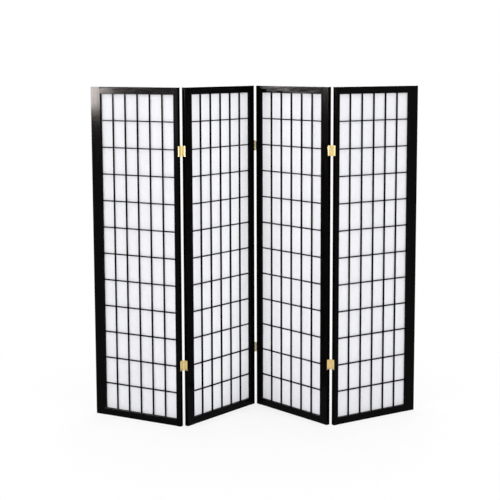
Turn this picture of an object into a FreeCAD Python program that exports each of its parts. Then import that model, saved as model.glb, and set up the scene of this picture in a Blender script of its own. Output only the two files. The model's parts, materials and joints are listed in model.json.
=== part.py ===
import FreeCAD, Part
import math
import os

# Shoji folding screen of four hinged panels, standing in a zigzag.
# Units are millimetres and degrees. +Z is up and the front faces -Y.
# The origin is the middle of the screen's own box, on the floor.

# ---- the screen -------------------------------------------------------------
screen_height = 1500.0
panel_width = 450.0
frame_thickness = 19.0
panel_turns = (-27.1, 48.3, -46.8, 30.3)   # each panel's turn about +Z as it stands
ridge, valley = "ridge", "valley"          # a ridge stands forward, a valley back
folds = (ridge, valley, ridge)             # between panels 1-2, 2-3 and 3-4

# ---- frame: full-height stiles with the rails tenoned between them ----------
free_edge_stile = 50.0                     # panels 1 and 4, at the screen's two ends
slim_stile = 23.0                          # panels 1 and 4, at the ridge folds
ridge_stile = 43.0                         # panels 2 and 3, at the ridge folds
valley_stile = 30.0                        # panels 2 and 3, at the valley fold
top_rail_height = 31.5
bottom_rail_height = 31.5
edge_round = 1.5                           # eased arris along stiles and rails
tenon_length = 16.0
tenon_thickness = 6.0
tenon_setback = 5.0                        # tenon's front cheek behind the frame's front
tenon_shoulder = 6.0                       # rail height left above and below the tenon
glue_room = 1.0                            # empty bottom of each mortise
joint_clearance = 0.1                      # between the cheeks of a wooden joint

# ---- lattice: half-lapped bars, dropped into housings from the back ---------
columns = 6
rows = 12
bar_width = 4.5
bar_depth = 7.5
bar_setback = 6.0                          # front of the bars behind the frame's front
bar_end = 5.0                              # bar length housed in a stile or rail
lap_clearance = 0.05                       # across each half lap

# ---- paper, held in a rebate by mitred beads --------------------------------
rebate_width = 8.0
paper_thickness = 0.5
paper_margin = 1.0                         # paper's edge to the rebate's wall
bead_clearance = 0.1                       # bead to the rebate's wall
bead_recess = 0.7                          # bead's back below the frame's back
bead_round_share = 0.6                     # rounded part of the bead's thickness

# ---- butt hinges, two to a fold ---------------------------------------------
hinge_height = 45.0
hinge_end_distance = 275.0                 # hinge's middle to the near end of the stile
knuckles = 5
knuckle_gap = 0.3
pin_radius = 1.45
running_clearance = 0.05                   # pin to knuckle bore, on the radius
leaf_thickness = 1.5
leaf_margin = 1.0                          # leaf's long edge to the frame's far face
barrel_stand = 0.2                         # barrel's side clear of the frame's face
swing_clearance = 0.4                      # leaf to the other leaf's knuckles
pin_head_radius = 2.4
pin_head_height = 1.2
pin_head_chamfer = 0.6

# ---- countersunk hinge screws -----------------------------------------------
screws_per_leaf = 2
screw_spacing = 28.0
screw_head_radius = 2.8
screw_shank_radius = 1.5
screw_length = 14.0
countersink_clearance = 0.1
pilot_clearance = 0.05

# ---- values that follow -----------------------------------------------------
paper_front = bar_setback + bar_depth
paper_back = paper_front + paper_thickness
bead_width = rebate_width - 2 * bead_clearance
bead_thickness = frame_thickness - paper_back - bead_recess
bead_round = bead_thickness * bead_round_share
knuckle_bore = pin_radius + running_clearance
knuckle_radius = knuckle_bore + leaf_thickness
barrel_offset = knuckle_radius + barrel_stand
edge_gap = knuckle_radius                  # pin's axis to a stile's edge face
opening_bottom = bottom_rail_height
opening_top = screen_height - top_rail_height
hinge_levels = {"lower": hinge_end_distance, "upper": screen_height - hinge_end_distance}
stile_widths = (
    (free_edge_stile, slim_stile),
    (ridge_stile, valley_stile),
    (valley_stile, ridge_stile),
    (slim_stile, free_edge_stile),
)
X_AXIS = FreeCAD.Vector(1, 0, 0)
Y_AXIS = FreeCAD.Vector(0, 1, 0)
Z_AXIS = FreeCAD.Vector(0, 0, 1)
CENTRE = FreeCAD.Vector(0, 0, 0)


def block(low, high):
    """Box between two corners."""
    size = [high[i] - low[i] for i in range(3)]
    return Part.makeBox(*size, FreeCAD.Vector(*low))


def eased_section(low_u, high_u, low_v, high_v, radius, place):
    """Face of a rectangle with rounded corners; place turns (u, v) into a point."""
    bend = radius * (1 - math.sqrt(0.5))
    corners = (
        (low_u, low_v, 1, 1),
        (high_u, low_v, -1, 1),
        (high_u, high_v, -1, -1),
        (low_u, high_v, 1, -1),
    )
    arcs = []
    for index, (u, v, in_u, in_v) in enumerate(corners):
        along_v = place(u, v + in_v * radius)
        along_u = place(u + in_u * radius, v)
        middle = place(u + in_u * bend, v + in_v * bend)
        ends = (along_v, along_u) if index % 2 == 0 else (along_u, along_v)
        arcs.append(Part.Arc(ends[0], middle, ends[1]))
    edges = []
    for arc, after in zip(arcs, arcs[1:] + arcs[:1]):
        edges.append(arc.toShape())
        edges.append(Part.LineSegment(arc.EndPoint, after.StartPoint).toShape())
    return Part.Face(Part.Wire(edges))


def evenly(first, last, count):
    """Low edges of the bars that part a span into count equal cells."""
    pitch = (last - first + bar_width) / count
    return [first + pitch * (index + 1) - bar_width for index in range(count - 1)]


def rebate_pocket(left, right):
    """The rebate round one panel's opening, as the solid that is cut away."""
    return block(
        (left - rebate_width, paper_front, opening_bottom - rebate_width),
        (right + rebate_width, frame_thickness, opening_top + rebate_width),
    )


def bar_housings(left, right):
    """Sockets in the four frame members for the ends of the bars."""
    front = bar_setback - joint_clearance
    grown = joint_clearance
    sockets = []
    for x in evenly(left, right, columns):
        low = (x - grown, front, opening_bottom - bar_end - grown)
        sockets.append(block(low, (x + bar_width + grown, paper_front, opening_bottom)))
        high = (x + bar_width + grown, paper_front, opening_top + bar_end + grown)
        sockets.append(block((x - grown, front, opening_top), high))
    for z in evenly(opening_bottom, opening_top, rows):
        low = (left - bar_end - grown, front, z - grown)
        sockets.append(block(low, (left, paper_front, z + bar_width + grown)))
        high = (right + bar_end + grown, paper_front, z + bar_width + grown)
        sockets.append(block((right, front, z - grown), high))
    return sockets


def rail_tenon(x_from, x_to, rail_bottom, rail_height, grown):
    """Tenon of a rail, or its mortise where grown is a clearance."""
    return block(
        (x_from, tenon_setback - grown, rail_bottom + tenon_shoulder - grown),
        (
            x_to,
            tenon_setback + tenon_thickness + grown,
            rail_bottom + rail_height - tenon_shoulder + grown,
        ),
    )


def stile(x_from, x_to, inner_side, cuts):
    """Full-height upright; inner_side is +1 where the opening is at its right."""

    def place(u, v):
        return FreeCAD.Vector(u, v, 0)

    section = eased_section(x_from, x_to, 0, frame_thickness, edge_round, place)
    body = section.extrude(Z_AXIS * screen_height)
    depth = tenon_length + glue_room
    inner = x_to if inner_side > 0 else x_from
    mortise = sorted((inner, inner - inner_side * depth))
    rails = ((0, bottom_rail_height), (opening_top, top_rail_height))
    mortises = [rail_tenon(*mortise, z, height, joint_clearance) for z, height in rails]
    return body.cut(mortises + cuts)


def rail(left, right, z_from, z_to, cuts):
    """Cross member between the stiles, with a tenon at each end."""

    def place(u, v):
        return FreeCAD.Vector(left, u, v)

    section = eased_section(0, frame_thickness, z_from, z_to, edge_round, place)
    body = section.extrude(X_AXIS * (right - left)).cut(cuts)
    tenon = rail_tenon(left - tenon_length, right + tenon_length, z_from, z_to - z_from, 0)
    return body.fuse(tenon).removeSplitter()


def vertical_bars(left, right):
    """Upright bars, notched to half their depth from the front at each crossing."""
    half = bar_setback + bar_depth / 2 + lap_clearance / 2
    bars = []
    for x in evenly(left, right, columns):
        bar = block(
            (x, bar_setback, opening_bottom - bar_end),
            (x + bar_width, paper_front, opening_top + bar_end),
        )
        notches = [
            block(
                (x, bar_setback, z - lap_clearance),
                (x + bar_width, half, z + bar_width + lap_clearance),
            )
            for z in evenly(opening_bottom, opening_top, rows)
        ]
        bars.append(bar.cut(notches))
    return bars


def horizontal_bars(left, right):
    """Level bars, notched to half their depth from the back at each crossing."""
    half = bar_setback + bar_depth / 2 - lap_clearance / 2
    bars = []
    for z in evenly(opening_bottom, opening_top, rows):
        bar = block(
            (left - bar_end, bar_setback, z),
            (right + bar_end, paper_front, z + bar_width),
        )
        notches = [
            block(
                (x - lap_clearance, half, z),
                (x + bar_width + lap_clearance, paper_front, z + bar_width),
            )
            for x in evenly(left, right, columns)
        ]
        bars.append(bar.cut(notches))
    return bars


def paper(left, right):
    """Sheet on the rebate's shoulder and the backs of the bars."""
    reach = rebate_width - paper_margin
    return block(
        (left - reach, paper_front, opening_bottom - reach),
        (right + reach, paper_back, opening_top + reach),
    )


def beads(left, right):
    """Four mitred strips that hold the paper, rounded towards the opening."""
    low = (left - rebate_width, opening_bottom - rebate_width)
    high = (right + rebate_width, opening_top + rebate_width)
    outer = bead_clearance
    inner = bead_clearance + bead_width
    bend = bead_round * (1 - math.sqrt(0.5))
    strips = []
    for corner, along, across, run in (
        (low, X_AXIS, Z_AXIS, high[0] - low[0]),
        (high, -X_AXIS, -Z_AXIS, high[0] - low[0]),
        (low, Z_AXIS, X_AXIS, high[1] - low[1]),
        (high, -Z_AXIS, -X_AXIS, high[1] - low[1]),
    ):
        start = FreeCAD.Vector(corner[0], paper_back, corner[1])

        def place(u, v):
            return start + across * u + Y_AXIS * v

        foot = place(inner, 0)
        side = place(inner, bead_thickness - bead_round)
        bow = place(inner - bend, bead_thickness - bend)
        crown = place(inner - bead_round, bead_thickness)
        flat_sides = [crown, place(outer, bead_thickness), place(outer, 0), foot, side]
        edges = [*Part.makePolygon(flat_sides).Edges, Part.Arc(side, bow, crown).toShape()]
        strip = Part.Face(Part.Wire(edges)).extrude(along * run)
        strips.append(strip.common(mitre(start, along, across, run)))
    return strips


def mitre(start, along, across, run):
    """The wedge-ended space that one bead may fill, 45 degrees at both ends."""
    corners = (
        start,
        start + along * run,
        start + along * (run - rebate_width) + across * rebate_width,
        start + along * rebate_width + across * rebate_width,
    )
    outline = Part.makePolygon([*corners, corners[0]])
    return Part.Face(outline).extrude(Y_AXIS * bead_thickness)


def hinge_bands(parity):
    """Height spans of the knuckles of one leaf, 0 for the outer leaf's."""
    step = hinge_height / knuckles
    bottom = -hinge_height / 2
    spans = []
    for index in range(parity, knuckles, 2):
        low = bottom + index * step + (knuckle_gap / 2 if index else 0)
        high = bottom + (index + 1) * step - (knuckle_gap / 2 if index < knuckles - 1 else 0)
        spans.append((low, high))
    return spans


def screw_places():
    """Each screw's distance from the pin's axis and its height."""
    middle = barrel_offset + frame_thickness / 2
    low = -(screws_per_leaf - 1) / 2 * screw_spacing
    return [(middle, low + index * screw_spacing) for index in range(screws_per_leaf)]


def leaf(parity):
    """Hinge leaf at the left of the pin, whose axis is Z through the origin."""
    width = barrel_offset + frame_thickness - leaf_margin
    bottom = -hinge_height / 2
    cleared = knuckle_radius + swing_clearance
    shape = block(
        (-knuckle_radius, -width, bottom),
        (-knuckle_bore, -cleared, bottom + hinge_height),
    )
    for low, high in hinge_bands(parity):
        height = high - low
        base = FreeCAD.Vector(0, 0, low)
        neck = block((-knuckle_radius, -cleared, low), (-knuckle_bore, 0, high))
        barrel = Part.makeCylinder(knuckle_radius, height, base)
        bore = Part.makeCylinder(knuckle_bore, height, base)
        shape = shape.fuse([neck, barrel]).cut(bore)
    exposed = screw_head_radius + countersink_clearance
    hidden = screw_shank_radius + countersink_clearance
    for forward, z in screw_places():
        seat = FreeCAD.Vector(-knuckle_bore, -forward, z)
        shape = shape.cut(Part.makeCone(exposed, hidden, leaf_thickness, seat, -X_AXIS))
    return shape.removeSplitter()


def turned(profile, axis, outward):
    """Solid turned about an axis through the origin from (radius, distance along) pairs."""
    points = [outward * radius + axis * along for radius, along in profile]
    return Part.Face(Part.makePolygon([*points, points[0]])).revolve(CENTRE, axis, 360)


def screw():
    """Countersunk screw along -X; its flat head lies at the origin."""
    profile = (
        (0, 0),
        (screw_head_radius, 0),
        (screw_shank_radius, -leaf_thickness),
        (screw_shank_radius, -screw_length),
        (0, -screw_length),
    )
    return turned(profile, X_AXIS, Z_AXIS)


def pin():
    """Hinge pin along Z with a chamfered head at each end."""
    end = hinge_height / 2
    top = end + pin_head_height
    upper = (
        (pin_radius, end),
        (pin_head_radius, end),
        (pin_head_radius, top - pin_head_chamfer),
        (pin_head_radius - pin_head_chamfer, top),
        (0, top),
    )
    lower = [(radius, -along) for radius, along in reversed(upper)]
    return turned([*lower, *upper], Z_AXIS, X_AXIS)


def pin_place(side, fold):
    """Pin's axis in a panel's own frame, at its left (-1) or right (+1) edge."""
    x = panel_width + edge_gap if side > 0 else -edge_gap
    y = frame_thickness + barrel_offset if fold == ridge else -barrel_offset
    return FreeCAD.Vector(x, y, 0)


def hung(shape, side, fold, level):
    """A hinge piece turned to its leaf's side and moved to its pin."""
    piece = shape.copy()
    if side < 0:
        piece.rotate(CENTRE, Y_AXIS, 180)
    if fold == valley:
        piece.rotate(CENTRE, X_AXIS, 180)
    piece.translate(pin_place(side, fold) + Z_AXIS * level)
    return piece


def pilot(forward, z):
    """Pilot hole for a screw, in the hinge's own frame."""
    seat = FreeCAD.Vector(-knuckle_radius, -forward, z)
    depth = screw_length - leaf_thickness + pilot_clearance
    return Part.makeCylinder(screw_shank_radius + pilot_clearance, depth, seat, -X_AXIS)


def panel_pieces(number):
    """One panel's wood, paper and screws, in its own frame: {node name: solids}."""
    left_width, right_width = stile_widths[number - 1]
    left, right = left_width, panel_width - right_width
    pocket = [rebate_pocket(left, right)]
    housings = bar_housings(left, right)
    edges = []
    if number > 1:
        edges.append((-1, folds[number - 2]))
    if number < len(panel_turns):
        edges.append((1, folds[number - 1]))
    screws, pilots = [], {-1: [], 1: []}
    for side, fold in edges:
        for level in hinge_levels.values():
            for forward, z in screw_places():
                fastener = screw()
                fastener.translate(FreeCAD.Vector(-knuckle_bore, -forward, z))
                screws.append(hung(fastener, side, fold, level))
                pilots[side].append(hung(pilot(forward, z), side, fold, level))
    cuts = pocket + housings
    name = f"panel_{number}"
    return {
        f"{name}_left_stile": [stile(0, left, 1, cuts + pilots[-1])],
        f"{name}_right_stile": [stile(right, panel_width, -1, cuts + pilots[1])],
        f"{name}_top_rail": [rail(left, right, opening_top, screen_height, cuts)],
        f"{name}_bottom_rail": [rail(left, right, 0, opening_bottom, cuts)],
        f"{name}_vertical_bars": vertical_bars(left, right),
        f"{name}_horizontal_bars": horizontal_bars(left, right),
        f"{name}_paper": [paper(left, right)],
        f"{name}_paper_beads": beads(left, right),
        f"{name}_hinge_screws": screws,
    }


def panel_placements():
    """Where each panel's own frame stands, each panel hung on the one before."""
    places = []
    origin = CENTRE
    for index, turn in enumerate(panel_turns):
        turning = FreeCAD.Rotation(Z_AXIS, turn)
        if index:
            origin = joint - turning.multVec(pin_place(-1, folds[index - 1]))
        places.append(FreeCAD.Placement(origin, turning))
        if index < len(folds):
            joint = origin + turning.multVec(pin_place(1, folds[index]))
    return places


def build():
    """Every node's solids where they stand, and the pins' axes, centred on the origin."""
    places = panel_placements()
    nodes = {}
    axes = {}
    for number, place in enumerate(places, 1):
        for name, solids in panel_pieces(number).items():
            nodes[name] = [placed(solid, place) for solid in solids]
    for number, fold in enumerate(folds, 1):
        name = f"fold_{number}_{number + 1}"
        left, right = places[number - 1], places[number]
        axes[name] = left.multVec(pin_place(1, fold))
        for level_name, level in hinge_levels.items():
            pieces = {
                "left_leaf": placed(hung(leaf(0), 1, fold, level), left),
                "right_leaf": placed(hung(leaf(1), -1, fold, level), right),
                "pin": placed(hung(pin(), 1, fold, level), left),
            }
            for piece_name, solid in pieces.items():
                nodes[f"{name}_{level_name}_{piece_name}"] = [solid]
    whole = Part.makeCompound([solid for solids in nodes.values() for solid in solids])
    box = whole.optimalBoundingBox(False, False)
    shift = FreeCAD.Vector(-box.Center.x, -box.Center.y, -box.ZMin)
    for solids in nodes.values():
        for solid in solids:
            solid.translate(shift)
    return nodes, {name: axis + shift for name, axis in axes.items()}


def placed(shape, place):
    """A copy of a shape carried from its own frame to where it stands."""
    return shape.transformed(place.toMatrix(), True)


def main():
    os.makedirs("parts", exist_ok=True)
    nodes, axes = build()
    for name, solids in nodes.items():
        shape = solids[0] if len(solids) == 1 else Part.makeCompound(solids)
        shape.exportStep(f"parts/{name}.step")
    for name, axis in axes.items():
        print(f"{name} pin axis at x {axis.x:.4f}, y {axis.y:.4f}")


main()
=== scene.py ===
"""Shoji folding screen: the finishes of its wood, paper and brass, its screws and its studio."""

import json
import math

import bpy
from mathutils import Matrix, Quaternion, Vector

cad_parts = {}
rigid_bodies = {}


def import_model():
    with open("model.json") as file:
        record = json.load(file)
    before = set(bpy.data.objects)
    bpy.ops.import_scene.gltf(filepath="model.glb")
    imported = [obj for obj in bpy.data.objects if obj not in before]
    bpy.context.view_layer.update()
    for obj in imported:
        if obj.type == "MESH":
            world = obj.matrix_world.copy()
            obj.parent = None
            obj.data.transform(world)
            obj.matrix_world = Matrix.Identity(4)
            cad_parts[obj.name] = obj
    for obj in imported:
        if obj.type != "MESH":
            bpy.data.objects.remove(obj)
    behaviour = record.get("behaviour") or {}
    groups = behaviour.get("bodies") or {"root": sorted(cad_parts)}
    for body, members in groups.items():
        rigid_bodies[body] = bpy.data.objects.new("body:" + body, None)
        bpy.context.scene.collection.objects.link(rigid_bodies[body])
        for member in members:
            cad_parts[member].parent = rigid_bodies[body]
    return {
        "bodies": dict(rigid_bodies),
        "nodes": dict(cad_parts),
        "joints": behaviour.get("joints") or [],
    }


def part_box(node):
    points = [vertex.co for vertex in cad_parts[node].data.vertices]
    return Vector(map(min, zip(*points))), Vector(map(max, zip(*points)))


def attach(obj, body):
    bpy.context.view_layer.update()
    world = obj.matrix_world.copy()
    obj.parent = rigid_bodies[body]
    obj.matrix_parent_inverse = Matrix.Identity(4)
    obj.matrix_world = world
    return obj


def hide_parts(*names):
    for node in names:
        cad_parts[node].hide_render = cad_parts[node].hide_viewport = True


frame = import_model()

bl_info = {
    "name": "Shoji Folding Screen",
    "version": (1, 0, 0),
    "blender": (4, 5, 0),
    "location": "View3D > Sidebar > Shoji Screen",
    "description": "Finishes a folding screen of lacquered wood, paper and brass, and lights it",
    "category": "Object",
}

PANELS = tuple(sorted(frame["bodies"]))
LEVELS = ("lower", "upper")

# Cells of noise per metre. Groups of three go across, through and up: the panel for wood and
# paper, the whole screen for brass.
PORES, FIGURE, ALONG_GRAIN = 900.0, 160.0, 9.0
ORANGE_PEEL = (420.0, 420.0, 420.0)
PAPER_CLOUDS = (55.0, 55.0, 40.0)
LAID_LINES = (420.0, 420.0, 14.0)
PULP = (700.0, 700.0, 500.0)
LONG_FIBRES = (75.0, 75.0, 22.0)
HANDLING_MARKS = (260.0, 260.0, 190.0)
BRUSHED_LEAF = (1500.0, 1500.0, 30.0)
DRAWN_PIN = (900.0, 900.0, 900.0)
TURNED_SCREW = (1200.0, 1200.0, 1200.0)

# Steps from one sheet's noise to the next sheet's.
SHEET_STEP = (7.3, 3.1, 5.7)

# Relief in metres, and how many times deeper the grain is on level pieces than on upright ones.
PEEL_DEPTH, PAPER_DEPTH, BRUSH_DEPTH = 0.00002, 0.00008, 0.00003
LEVEL_GRAIN = 8.0

# Tints of the lacquer where wood shows through, and of the brass where it is dull.
WOOD_TINT = (2.6, 2.0, 1.8)
DULL_TINT = (0.72, 0.62, 0.5)

# The screws' cross recess in metres, and the shares of length and width kept at its floor.
RECESS_WIDTH, RECESS_DEPTH = 0.0008, 0.0011
RECESS_REACH = 1.25  # length of a bar of the cross, in head radii
RECESS_FLOOR = (0.45, 0.6, 1)
POINT_SHARE = 0.08  # share of the shank's width left at the point
TWIST, TWIST_SPREAD = 37, 61  # degrees; the spread goes with a screw's height and side

# The floor's side, and the radii in metres where its shadow starts to fade, where it is gone
# and where the ramp ends. WASH is the share of plain white inside the first radius.
FLOOR_SIZE = 40
SHADOW_FADES, SHADOW_ENDS, RAMP_ENDS = 0.8, 1.68, 4.0
WASH = 0.75
FLOOR_WHITE = (0.86, 0.86, 0.86, 1.0)
WHITE = (1.0, 1.0, 1.0, 1.0)

# Name, place, aim, width and height, watts, and what sets a lamp apart from a plain one.
MIDDLE = (0.0, 0.0, 0.9)
LAMPS = (
    ("left_softbox", (-3.3, -3.0, 1.9), MIDDLE, (2.0, 2.0), 58.0, {}),
    ("right_softbox", (3.3, -3.0, 1.9), MIDDLE, (2.0, 2.0), 58.0, {}),
    ("back_softbox", (0.6, 4.6, 2.4), MIDDLE, (3.0, 2.4), 50.0, {}),
    (
        "near_card", (-2.1, -0.59, 1.65), (0.0, -0.59, 1.65), (0.39, 0.62), 190.0,
        {"tint": (1.0, 0.91, 0.87), "diffuse": False},
    ),
    (
        "far_card", (-2.1, 0.19, 1.87), (0.0, 0.19, 1.87), (0.38, 0.5), 185.0,
        {"tint": (1.0, 0.93, 0.93), "diffuse": False},
    ),
    (
        "fold_softbox", (0.0, -2.4, 0.75), (0.0, 0.0, 0.75), (0.6, 1.6), 1.3,
        {"spread": 14, "glossy": False},
    ),
)
SENSOR_WIDTH = 36.0  # millimetres
CLIP_END = 100.0  # metres


class ShaderSocket:
    """One output of a shader node; arithmetic on it adds Math nodes."""

    def __init__(self, graph, output):
        self.graph = graph
        self.output = output

    def __add__(self, other):
        return self.graph.math("ADD", self, other)

    def __radd__(self, other):
        return self.graph.math("ADD", other, self)

    def __sub__(self, other):
        return self.graph.math("SUBTRACT", self, other)

    def __rsub__(self, other):
        return self.graph.math("SUBTRACT", other, self)

    def __mul__(self, other):
        return self.graph.math("MULTIPLY", self, other)

    def __rmul__(self, other):
        return self.graph.math("MULTIPLY", other, self)


class ShaderGraph:
    """The node tree of one material or of the world, built from nothing."""

    def __init__(self, owner):
        owner.use_nodes = True
        self.owner = owner
        self.tree = owner.node_tree
        self.tree.nodes.clear()

    def node(self, kind, settings=None, inputs=None, output=0):
        """Adds a node: its settings first, then the values or links of its sockets."""
        made = self.tree.nodes.new(kind)
        for name, value in (settings or {}).items():
            if name == "stops":
                self.set_stops(made.color_ramp, value)
            else:
                setattr(made, name, value)
        for name, value in (inputs or {}).items():
            if isinstance(value, ShaderSocket):
                self.tree.links.new(value.output, made.inputs[name])
            else:
                made.inputs[name].default_value = value
        return ShaderSocket(self, made.outputs[output]) if made.outputs else None

    def set_stops(self, ramp, stops):
        while len(ramp.elements) < len(stops):
            ramp.elements.new(1.0)
        for element, (position, shade) in zip(ramp.elements, stops):
            element.position = position
            element.color = (shade, shade, shade, 1.0)

    def math(self, operation, *values):
        return self.node("ShaderNodeMath", {"operation": operation}, dict(enumerate(values)))

    def ramp(self, value, stops):
        """A value sent through straight runs between (position, shade) stops."""
        return self.node("ShaderNodeValToRGB", {"stops": stops}, {"Fac": value})

    def mixed(self, factor, first, second):
        """A colour between two others."""
        return self.node(
            "ShaderNodeMix", {"data_type": "RGBA"}, {0: factor, 6: first, 7: second}, 2
        )

    def placed(self, turn, cells, offset):
        """Coordinates of the piece's own panel, its width on X, in cells of noise."""
        coordinates = self.node("ShaderNodeTexCoord", output="Object")
        unturned = self.node(
            "ShaderNodeMapping", None, {"Vector": coordinates, "Rotation": (0.0, 0.0, -turn)}
        )
        return self.node(
            "ShaderNodeMapping", None, {"Vector": unturned, "Scale": cells, "Location": offset}
        )

    def noise(self, turn, cells, detail, offset=(0.0, 0.0, 0.0), distortion=0.0):
        inputs = {
            "Vector": self.placed(turn, cells, offset),
            "Scale": 1.0,
            "Detail": detail,
            "Distortion": distortion,
        }
        return self.node("ShaderNodeTexNoise", None, inputs)

    def bump(self, height, depth, strength, under=None):
        """Relief of a depth in metres, on top of the relief under it."""
        inputs = {"Height": height, "Distance": depth, "Strength": strength}
        if under is not None:
            inputs["Normal"] = under
        return self.node("ShaderNodeBump", None, inputs)

    def finish(self, shader, kind="ShaderNodeOutputMaterial"):
        """Sends a shader to the output, and gives back what the tree belongs to."""
        self.node(kind, None, {"Surface": shader})
        return self.owner


def tinted(shade, tint=(1.0, 1.0, 1.0)):
    """A colour for a socket: each channel of a shade times its tint, and alpha."""
    return (*(channel * share for channel, share in zip(shade, tint)), 1.0)


def centre(node):
    low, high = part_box(node)
    return (low + high) / 2


def panel_turn(panel):
    """The panel's turn about Z, from the middle of its left stile to that of its right."""
    across = centre(f"{panel}_right_stile") - centre(f"{panel}_left_stile")
    return math.atan2(across.y, across.x)


def give(node, material):
    """Puts one material in every slot of a CAD node."""
    for slot in frame["nodes"][node].material_slots:
        slot.material = material


def take_hold(piece):
    """Makes a piece the only selected and the active one."""
    bpy.ops.object.select_all(action="DESELECT")
    piece.select_set(True)
    bpy.context.view_layer.objects.active = piece


def pick_underside(piece):
    """Selects only the faces that look down -Z, ready for edit mode."""
    for edge in piece.data.edges:
        edge.select = False
    for vertex in piece.data.vertices:
        vertex.select = False
    for face in piece.data.polygons:
        face.select = face.normal.z < -0.9


class LacquerSettings(bpy.types.PropertyGroup):
    """The black finish of the frames and the lattice."""

    shade: bpy.props.FloatVectorProperty(
        name="Lacquer", description="Colour of the lacquer", subtype="COLOR",
        size=3, min=0.0, max=1.0, default=(0.0009, 0.0008, 0.0008),
    )
    gloss: bpy.props.FloatProperty(
        name="Sheen", description="Strength of its reflections, 0.5 for plain varnish",
        min=0.0, max=1.0, default=0.03,
    )
    roughness: bpy.props.FloatProperty(
        name="Roughness", description="Blur of its reflections", min=0.0, max=1.0, default=0.13,
    )
    grain: bpy.props.FloatProperty(
        name="Grain", description="Depth of the wood grain that shows through",
        unit="LENGTH", min=0.0, max=0.001, default=0.00006,
    )


class PaperSettings(bpy.types.PropertyGroup):
    """The white paper behind the lattice."""

    shade: bpy.props.FloatVectorProperty(
        name="Paper", description="Colour of the paper", subtype="COLOR",
        size=3, min=0.0, max=1.0, default=(0.862, 0.861, 0.885),
    )
    glow: bpy.props.FloatProperty(
        name="Translucency", description="Share of the light that passes into the sheet",
        min=0.0, max=1.0, default=0.3,
    )
    fibre: bpy.props.FloatProperty(
        name="Fibres", description="Contrast of the fibres", min=0.0, max=1.0, default=0.06,
    )


class BrassSettings(bpy.types.PropertyGroup):
    """The hinges and their screws."""

    shade: bpy.props.FloatVectorProperty(
        name="Brass", description="Colour of the hinges", subtype="COLOR",
        size=3, min=0.0, max=1.0, default=(0.84, 0.72, 0.43),
    )
    roughness: bpy.props.FloatProperty(
        name="Roughness", description="Blur of the brass", min=0.0, max=1.0, default=0.28,
    )
    head_radius: bpy.props.FloatProperty(
        name="Screw head", description="Radius of a screw's head", unit="LENGTH", default=0.0028,
    )
    shank_radius: bpy.props.FloatProperty(
        name="Screw shank", description="Radius of a screw's shank", unit="LENGTH", default=0.0015,
    )
    screw_length: bpy.props.FloatProperty(
        name="Screw length", description="From its head to its point", unit="LENGTH", default=0.014,
    )
    leaf_thickness: bpy.props.FloatProperty(
        name="Leaf", description="Thickness of a hinge leaf", unit="LENGTH", default=0.0015,
    )
    screw_spacing: bpy.props.FloatProperty(
        name="Screw spacing", description="From one screw of a leaf to the other",
        unit="LENGTH", default=0.028,
    )
    leaf_face: bpy.props.FloatProperty(
        name="Leaf face", description="From the pin's axis to a leaf's open face",
        unit="LENGTH", default=0.0015,
    )
    screw_line: bpy.props.FloatProperty(
        name="Screw line", description="From the pin's axis to the screws, along a leaf",
        unit="LENGTH", default=0.0127,
    )


class StudioSettings(bpy.types.PropertyGroup):
    """The camera and the even light."""

    camera_place: bpy.props.FloatVectorProperty(
        name="Camera", description="Where the camera stands", subtype="XYZ", unit="LENGTH",
        default=(-0.0389, -5.0464, 1.6131),
    )
    camera_aim: bpy.props.FloatVectorProperty(
        name="Aim", description="Point that the camera looks at", subtype="XYZ", unit="LENGTH",
        default=(-0.0236, 0.0, 1.0252),
    )
    camera_roll: bpy.props.FloatProperty(
        name="Roll", description="Turn of the camera about its own axis", subtype="ANGLE",
        default=math.radians(-0.18),
    )
    lens: bpy.props.FloatProperty(
        name="Lens", description="Focal length in millimetres on a 36 mm sensor", default=81.46,
    )
    rise: bpy.props.FloatProperty(
        name="Rise", description="Upward shift of the lens, as a share of the picture's width",
        default=-0.115,
    )
    ambient: bpy.props.FloatProperty(
        name="Ambient", description="Even light from all round", min=0.0, default=0.95,
    )


class SCREEN_OT_lacquer_wood(bpy.types.Operator):
    """Finish the stiles, rails, lattice bars and beads in black lacquer"""

    bl_idname = "screen.lacquer_wood"
    bl_label = "Lacquer the Wood"

    def execute(self, context):
        for panel in PANELS:
            turn = panel_turn(panel)
            upright = self.lacquer(context, f"{panel}_upright_lacquer", turn, upright=True)
            level = self.lacquer(context, f"{panel}_level_lacquer", turn, upright=False)
            for part in ("left_stile", "right_stile", "vertical_bars", "paper_beads"):
                give(f"{panel}_{part}", upright)
            for part in ("top_rail", "bottom_rail", "horizontal_bars"):
                give(f"{panel}_{part}", level)
        return {"FINISHED"}

    def lacquer(self, context, name, turn, upright):
        """Black lacquer over wood whose grain runs up the piece or along it."""
        wanted = context.scene.screen_lacquer
        graph = ShaderGraph(bpy.data.materials.new(name))
        pores = graph.noise(turn, self.grained(PORES, ALONG_GRAIN, upright), detail=2.0)
        figure = graph.noise(turn, self.grained(FIGURE, ALONG_GRAIN / 2, upright), detail=3.0)
        peel = graph.noise(turn, ORANGE_PEEL, detail=1.0)
        open_pores = graph.ramp(pores, ((0.30, 1.0), (0.42, 0.0)))
        height = figure * 0.5 + pores * 0.3 - open_pores * 0.35
        depth = wanted.grain * (1.0 if upright else LEVEL_GRAIN)
        grain = graph.bump(height, depth, strength=0.8)
        surface = graph.bump(peel, PEEL_DEPTH, strength=0.25, under=grain)
        black, brown = tinted(wanted.shade), tinted(wanted.shade, WOOD_TINT)
        inputs = {
            "Base Color": graph.mixed(figure * 0.6, black, brown),
            "Roughness": wanted.roughness - 0.03 + figure * 0.06 + open_pores * 0.12,
            "Specular IOR Level": wanted.gloss,
            "Normal": surface,
        }
        return graph.finish(graph.node("ShaderNodeBsdfPrincipled", None, inputs))

    def grained(self, across, along, upright):
        """Cells of noise for grain that runs up the panel or across it."""
        return (across, across, along) if upright else (along, across, across)


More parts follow.
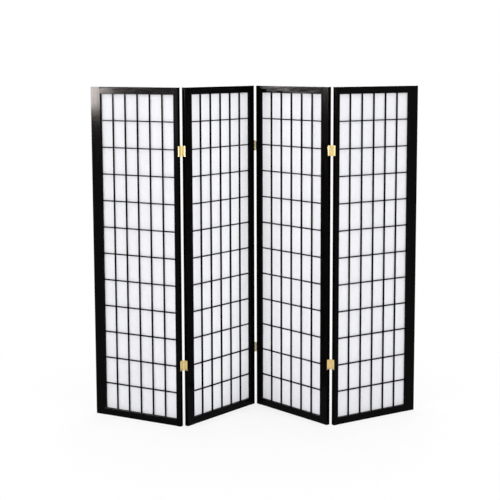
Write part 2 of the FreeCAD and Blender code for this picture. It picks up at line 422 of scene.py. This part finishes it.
class SCREEN_OT_lay_paper(bpy.types.Operator):
    """Finish the sheets behind the lattice in fibrous white paper"""

    bl_idname = "screen.lay_paper"
    bl_label = "Lay the Paper"

    def execute(self, context):
        for index, panel in enumerate(PANELS):
            give(f"{panel}_paper", self.paper(context, panel, index))
        return {"FINISHED"}

    def paper(self, context, panel, index):
        """Matt paper with cloudy formation, upright laid lines and scattered long fibres."""
        wanted = context.scene.screen_paper
        turn = panel_turn(panel)
        graph = ShaderGraph(bpy.data.materials.new(f"{panel}_shoji_paper"))
        start = tuple(step * index for step in SHEET_STEP)
        clouds = graph.noise(turn, PAPER_CLOUDS, 4.0, start)
        laid = graph.noise(turn, LAID_LINES, 2.0, start)
        pulp = graph.noise(turn, PULP, 2.0, start)
        strands = graph.noise(turn, LONG_FIBRES, 1.0, start, distortion=1.6)
        near = graph.math("ABSOLUTE", strands - 0.5)
        fibres = graph.ramp(near, ((0.0, 1.0), (0.012, 0.0)))
        tone = clouds * 0.4 + laid * 0.45 + pulp * 0.15
        pale = tinted(wanted.shade)
        deep = tinted(wanted.shade, (1 - 4 * wanted.fibre,) * 3)
        thick = tinted(wanted.shade, (1 - wanted.fibre,) * 3)
        ground = graph.mixed(graph.ramp(tone, ((0.38, 1.0), (0.62, 0.0))), pale, thick)
        inputs = {
            "Base Color": graph.mixed(fibres * 0.22, ground, deep),
            "Roughness": 0.82 + 0.1 * clouds,
            "Specular IOR Level": 0.1,
            "Normal": graph.bump(tone + fibres * 0.5, PAPER_DEPTH, strength=0.5),
        }
        sheet = graph.node("ShaderNodeBsdfPrincipled", None, inputs)
        through = graph.node("ShaderNodeBsdfTranslucent", None, {"Color": pale})
        lit = graph.node("ShaderNodeMixShader", None, {0: wanted.glow, 1: sheet, 2: through})
        return graph.finish(lit)


def brass(context, name, cells, worn):
    """Brass with fine lines, at so many cells of noise, and cloudy handling marks."""
    wanted = context.scene.screen_brass
    graph = ShaderGraph(bpy.data.materials.new(name))
    lines = graph.noise(0.0, cells, detail=3.0)
    marks = graph.noise(0.0, HANDLING_MARKS, detail=4.0)
    bright, dull = tinted(wanted.shade), tinted(wanted.shade, DULL_TINT)
    inputs = {
        "Base Color": graph.mixed(graph.ramp(marks, ((0.45, 0.0), (0.75, worn))), bright, dull),
        "Metallic": 1.0,
        "Roughness": wanted.roughness - 0.06 + lines * 0.12 + marks * 0.08,
        "Normal": graph.bump(lines + marks * 0.6, BRUSH_DEPTH, strength=0.35),
    }
    return graph.finish(graph.node("ShaderNodeBsdfPrincipled", None, inputs))


class SCREEN_OT_plate_hinges(bpy.types.Operator):
    """Finish the hinge leaves and pins in brass"""

    bl_idname = "screen.plate_hinges"
    bl_label = "Plate the Hinges"

    def execute(self, context):
        leaf = brass(context, "brass_leaf", BRUSHED_LEAF, 0.5)
        pin = brass(context, "brass_pin", DRAWN_PIN, 0.8)
        for joint in frame["joints"]:
            for level in LEVELS:
                give(f"{joint['name']}_{level}_left_leaf", leaf)
                give(f"{joint['name']}_{level}_right_leaf", leaf)
                give(f"{joint['name']}_{level}_pin", pin)
        return {"FINISHED"}


class SCREEN_OT_drive_screws(bpy.types.Operator):
    """Model one countersunk screw with a cross recess and drive its copies home"""

    bl_idname = "screen.drive_screws"
    bl_label = "Drive the Screws"

    def execute(self, context):
        wanted = context.scene.screen_brass
        pattern = self.screw(wanted)
        material = brass(context, "brass_screw", TURNED_SCREW, 0.6)
        driven = {panel: [] for panel in PANELS}
        for joint in frame["joints"]:
            _fold, left, right = joint["name"].split("_")
            sides = ((f"panel_{left}", "left", -1), (f"panel_{right}", "right", 1))
            for panel, side, out in sides:
                for level in LEVELS:
                    leaf = centre(f"{joint['name']}_{level}_{side}_leaf")
                    places = self.places(wanted, joint, panel, leaf, out)
                    driven[panel] += [self.copy(pattern, place) for place in places]
        bpy.data.objects.remove(pattern)
        for panel, screws in driven.items():
            take_hold(screws[0])
            for screw in screws:
                screw.select_set(True)
            bpy.ops.object.join()
            screws[0].name = f"{panel}_cross_head_screws"
            screws[0].data.materials.clear()
            screws[0].data.materials.append(material)
            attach(screws[0], panel)
            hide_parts(f"{panel}_hinge_screws")
        return {"FINISHED"}

    def screw(self, wanted):
        """One screw pointing down -Z from a head whose face is at the origin."""
        bpy.ops.object.select_all(action="DESELECT")
        depth = wanted.leaf_thickness
        bpy.ops.mesh.primitive_cylinder_add(
            vertices=32, radius=wanted.head_radius, depth=depth, location=(0, 0, -depth / 2)
        )
        piece = bpy.context.object
        bpy.ops.object.transform_apply(location=True, rotation=False, scale=False)
        pick_underside(piece)
        bpy.ops.object.mode_set(mode="EDIT")
        narrow = wanted.shank_radius / wanted.head_radius
        point = 2 * wanted.shank_radius
        straight = wanted.screw_length - depth - point
        bpy.ops.transform.resize(value=(narrow, narrow, 1))
        for length in (straight, point):
            bpy.ops.mesh.extrude_region_move(TRANSFORM_OT_translate={"value": (0, 0, -length)})
        bpy.ops.transform.resize(value=(POINT_SHARE, POINT_SHARE, 1))
        bpy.ops.object.mode_set(mode="OBJECT")
        for turn in (0.0, math.pi / 2):
            self.cut(piece, wanted, turn)
        take_hold(piece)
        bpy.ops.object.shade_smooth_by_angle(angle=math.radians(30))
        return piece

    def cut(self, piece, wanted, turn):
        """Cuts one bar of the cross recess, tapered to its floor."""
        bpy.ops.object.select_all(action="DESELECT")
        bpy.ops.mesh.primitive_cube_add(size=1, location=(0, 0, 0))
        cutter = bpy.context.object
        cutter.scale = (wanted.head_radius * RECESS_REACH, RECESS_WIDTH, 2 * RECESS_DEPTH)
        bpy.ops.object.transform_apply(location=True, rotation=False, scale=True)
        pick_underside(cutter)
        bpy.ops.object.mode_set(mode="EDIT")
        bpy.ops.transform.resize(value=RECESS_FLOOR)
        bpy.ops.object.mode_set(mode="OBJECT")
        cutter.data.transform(Matrix.Rotation(turn, 4, "Z"))
        take_hold(piece)
        recess = piece.modifiers.new("recess", "BOOLEAN")
        recess.operation = "DIFFERENCE"
        recess.solver = "EXACT"
        recess.object = cutter
        bpy.ops.object.modifier_apply(modifier="recess")
        bpy.data.objects.remove(cutter)

    def places(self, wanted, joint, panel, leaf, out):
        """Where each screw of one leaf stands, its cross turned by an angle of its own."""
        turning = Matrix.Rotation(panel_turn(panel), 4, "Z")
        pin = Vector((joint["pos_m"][0], joint["pos_m"][1], leaf.z))
        ahead = math.copysign(1.0, (turning.inverted() @ (leaf - pin)).y)
        local = Vector((out * wanted.leaf_face, ahead * wanted.screw_line, 0.0))
        lean = Matrix.Rotation(-out * math.pi / 2, 4, "Y")
        found = []
        for step in (-0.5, 0.5):
            head = pin + turning @ local + Vector((0, 0, step * wanted.screw_spacing))
            angle = math.radians(TWIST + TWIST_SPREAD * step * out * head.z)
            twist = Matrix.Rotation(angle, 4, "Z")
            found.append(Matrix.Translation(head) @ turning @ lean @ twist)
        return found

    def copy(self, pattern, place):
        piece = pattern.copy()
        piece.data = pattern.data.copy()
        bpy.context.scene.collection.objects.link(piece)
        piece.data.transform(place)
        return piece


class SCREEN_OT_set_stage(bpy.types.Operator):
    """Lay the white floor, hang the soft lamps and stand the camera"""

    bl_idname = "screen.set_stage"
    bl_label = "Set the Stage"

    def execute(self, context):
        wanted = context.scene.screen_studio
        context.scene.view_settings.view_transform = "Standard"
        self.floor()
        self.world(context, wanted)
        for name, place, aim, size, power, special in LAMPS:
            self.lamp(context, name, place, aim, size, power, **special)
        self.camera(context, wanted)
        return {"FINISHED"}

    def floor(self):
        """White floor whose shadow fades out round the object."""
        bpy.ops.object.select_all(action="DESELECT")
        bpy.ops.mesh.primitive_plane_add(size=FLOOR_SIZE, location=(0, 0, 0))
        floor = bpy.context.object
        floor.name = "studio_floor"
        graph = ShaderGraph(bpy.data.materials.new("studio_white"))
        matt = graph.node("ShaderNodeBsdfDiffuse", None, {"Color": FLOOR_WHITE})
        light = graph.node("ShaderNodeEmission", None, {"Color": WHITE})
        seen = self.seen(graph)
        coordinates = graph.node("ShaderNodeTexCoord", output="Object")
        distance = graph.node(
            "ShaderNodeVectorMath", {"operation": "LENGTH"}, {0: coordinates}, "Value"
        )
        stops = ((SHADOW_FADES / RAMP_ENDS, WASH), (SHADOW_ENDS / RAMP_ENDS, 1.0))
        away = graph.ramp(distance * (1 / RAMP_ENDS), stops)
        ground = graph.node("ShaderNodeMixShader", None, {0: seen * away, 1: matt, 2: light})
        floor.data.materials.append(graph.finish(ground))

    def seen(self, graph):
        """1 for what the camera sees, also in a reflection or through a clear piece."""
        camera = graph.node("ShaderNodeLightPath", output="Is Camera Ray")
        mirrored = graph.node("ShaderNodeLightPath", output="Is Glossy Ray")
        through = graph.node("ShaderNodeLightPath", output="Is Transmission Ray")
        return graph.math("MAXIMUM", camera, graph.math("MAXIMUM", mirrored, through))

    def world(self, context, wanted):
        """White to the camera, a plain level of light to the object."""
        graph = ShaderGraph(bpy.data.worlds.new("studio_world"))
        seen = self.seen(graph)
        level = seen + (1.0 - seen) * wanted.ambient
        white = graph.node("ShaderNodeBackground", None, {"Color": WHITE, "Strength": level})
        context.scene.world = graph.finish(white, "ShaderNodeOutputWorld")

    def lamp(
        self, context, name, place, aim, size, power,
        tint=(1.0, 1.0, 1.0), spread=180, diffuse=True, glossy=True,
    ):
        """A rectangle of light that matt or glossy surfaces can be kept from seeing."""
        data = bpy.data.lights.new(name, "AREA")
        data.shape = "RECTANGLE"
        data.size, data.size_y = size
        data.energy = power
        data.color = tint
        data.spread = math.radians(spread)
        lamp = bpy.data.objects.new(name, data)
        context.scene.collection.objects.link(lamp)
        lamp.location = place
        lamp.rotation_euler = (Vector(aim) - Vector(place)).to_track_quat("-Z", "Y").to_euler()
        lamp.visible_camera = False
        lamp.visible_diffuse = diffuse
        lamp.visible_glossy = glossy

    def camera(self, context, wanted):
        data = bpy.data.cameras.new("camera")
        data.lens = wanted.lens
        data.sensor_width = SENSOR_WIDTH
        data.shift_y = wanted.rise
        data.clip_end = CLIP_END
        camera = bpy.data.objects.new("camera", data)
        context.scene.collection.objects.link(camera)
        place, aim = Vector(wanted.camera_place), Vector(wanted.camera_aim)
        roll = Quaternion((0.0, 0.0, 1.0), wanted.camera_roll)
        camera.rotation_mode = "QUATERNION"
        camera.location = place
        camera.rotation_quaternion = (aim - place).to_track_quat("-Z", "Y") @ roll
        context.scene.camera = camera


# Each step's settings, as the scene names them, their group, and the step's operators.
STEPS = (
    ("screen_lacquer", LacquerSettings, (SCREEN_OT_lacquer_wood,)),
    ("screen_paper", PaperSettings, (SCREEN_OT_lay_paper,)),
    ("screen_brass", BrassSettings, (SCREEN_OT_plate_hinges, SCREEN_OT_drive_screws)),
    ("screen_studio", StudioSettings, (SCREEN_OT_set_stage,)),
)


class SCREEN_PT_sidebar(bpy.types.Panel):
    """Sizes, colours and steps of the folding screen"""

    bl_idname = "SCREEN_PT_sidebar"
    bl_label = "Shoji Screen"
    bl_space_type = "VIEW_3D"
    bl_region_type = "UI"
    bl_category = "Shoji Screen"

    def draw(self, context):
        for name, _group, operators in STEPS:
            settings = getattr(context.scene, name)
            box = self.layout.box()
            for setting in settings.__annotations__:
                box.prop(settings, setting)
            for operator in operators:
                box.operator(operator.bl_idname)


def register():
    for name, group, operators in STEPS:
        bpy.utils.register_class(group)
        setattr(bpy.types.Scene, name, bpy.props.PointerProperty(type=group))
        for operator in operators:
            bpy.utils.register_class(operator)
    bpy.utils.register_class(SCREEN_PT_sidebar)


def unregister():
    bpy.utils.unregister_class(SCREEN_PT_sidebar)
    for name, group, operators in reversed(STEPS):
        for operator in reversed(operators):
            bpy.utils.unregister_class(operator)
        delattr(bpy.types.Scene, name)
        bpy.utils.unregister_class(group)


def main():
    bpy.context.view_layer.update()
    register()
    bpy.ops.screen.lacquer_wood()
    bpy.ops.screen.lay_paper()
    bpy.ops.screen.plate_hinges()
    bpy.ops.screen.drive_screws()
    bpy.ops.screen.set_stage()


if __name__ == "__main__":
    main()
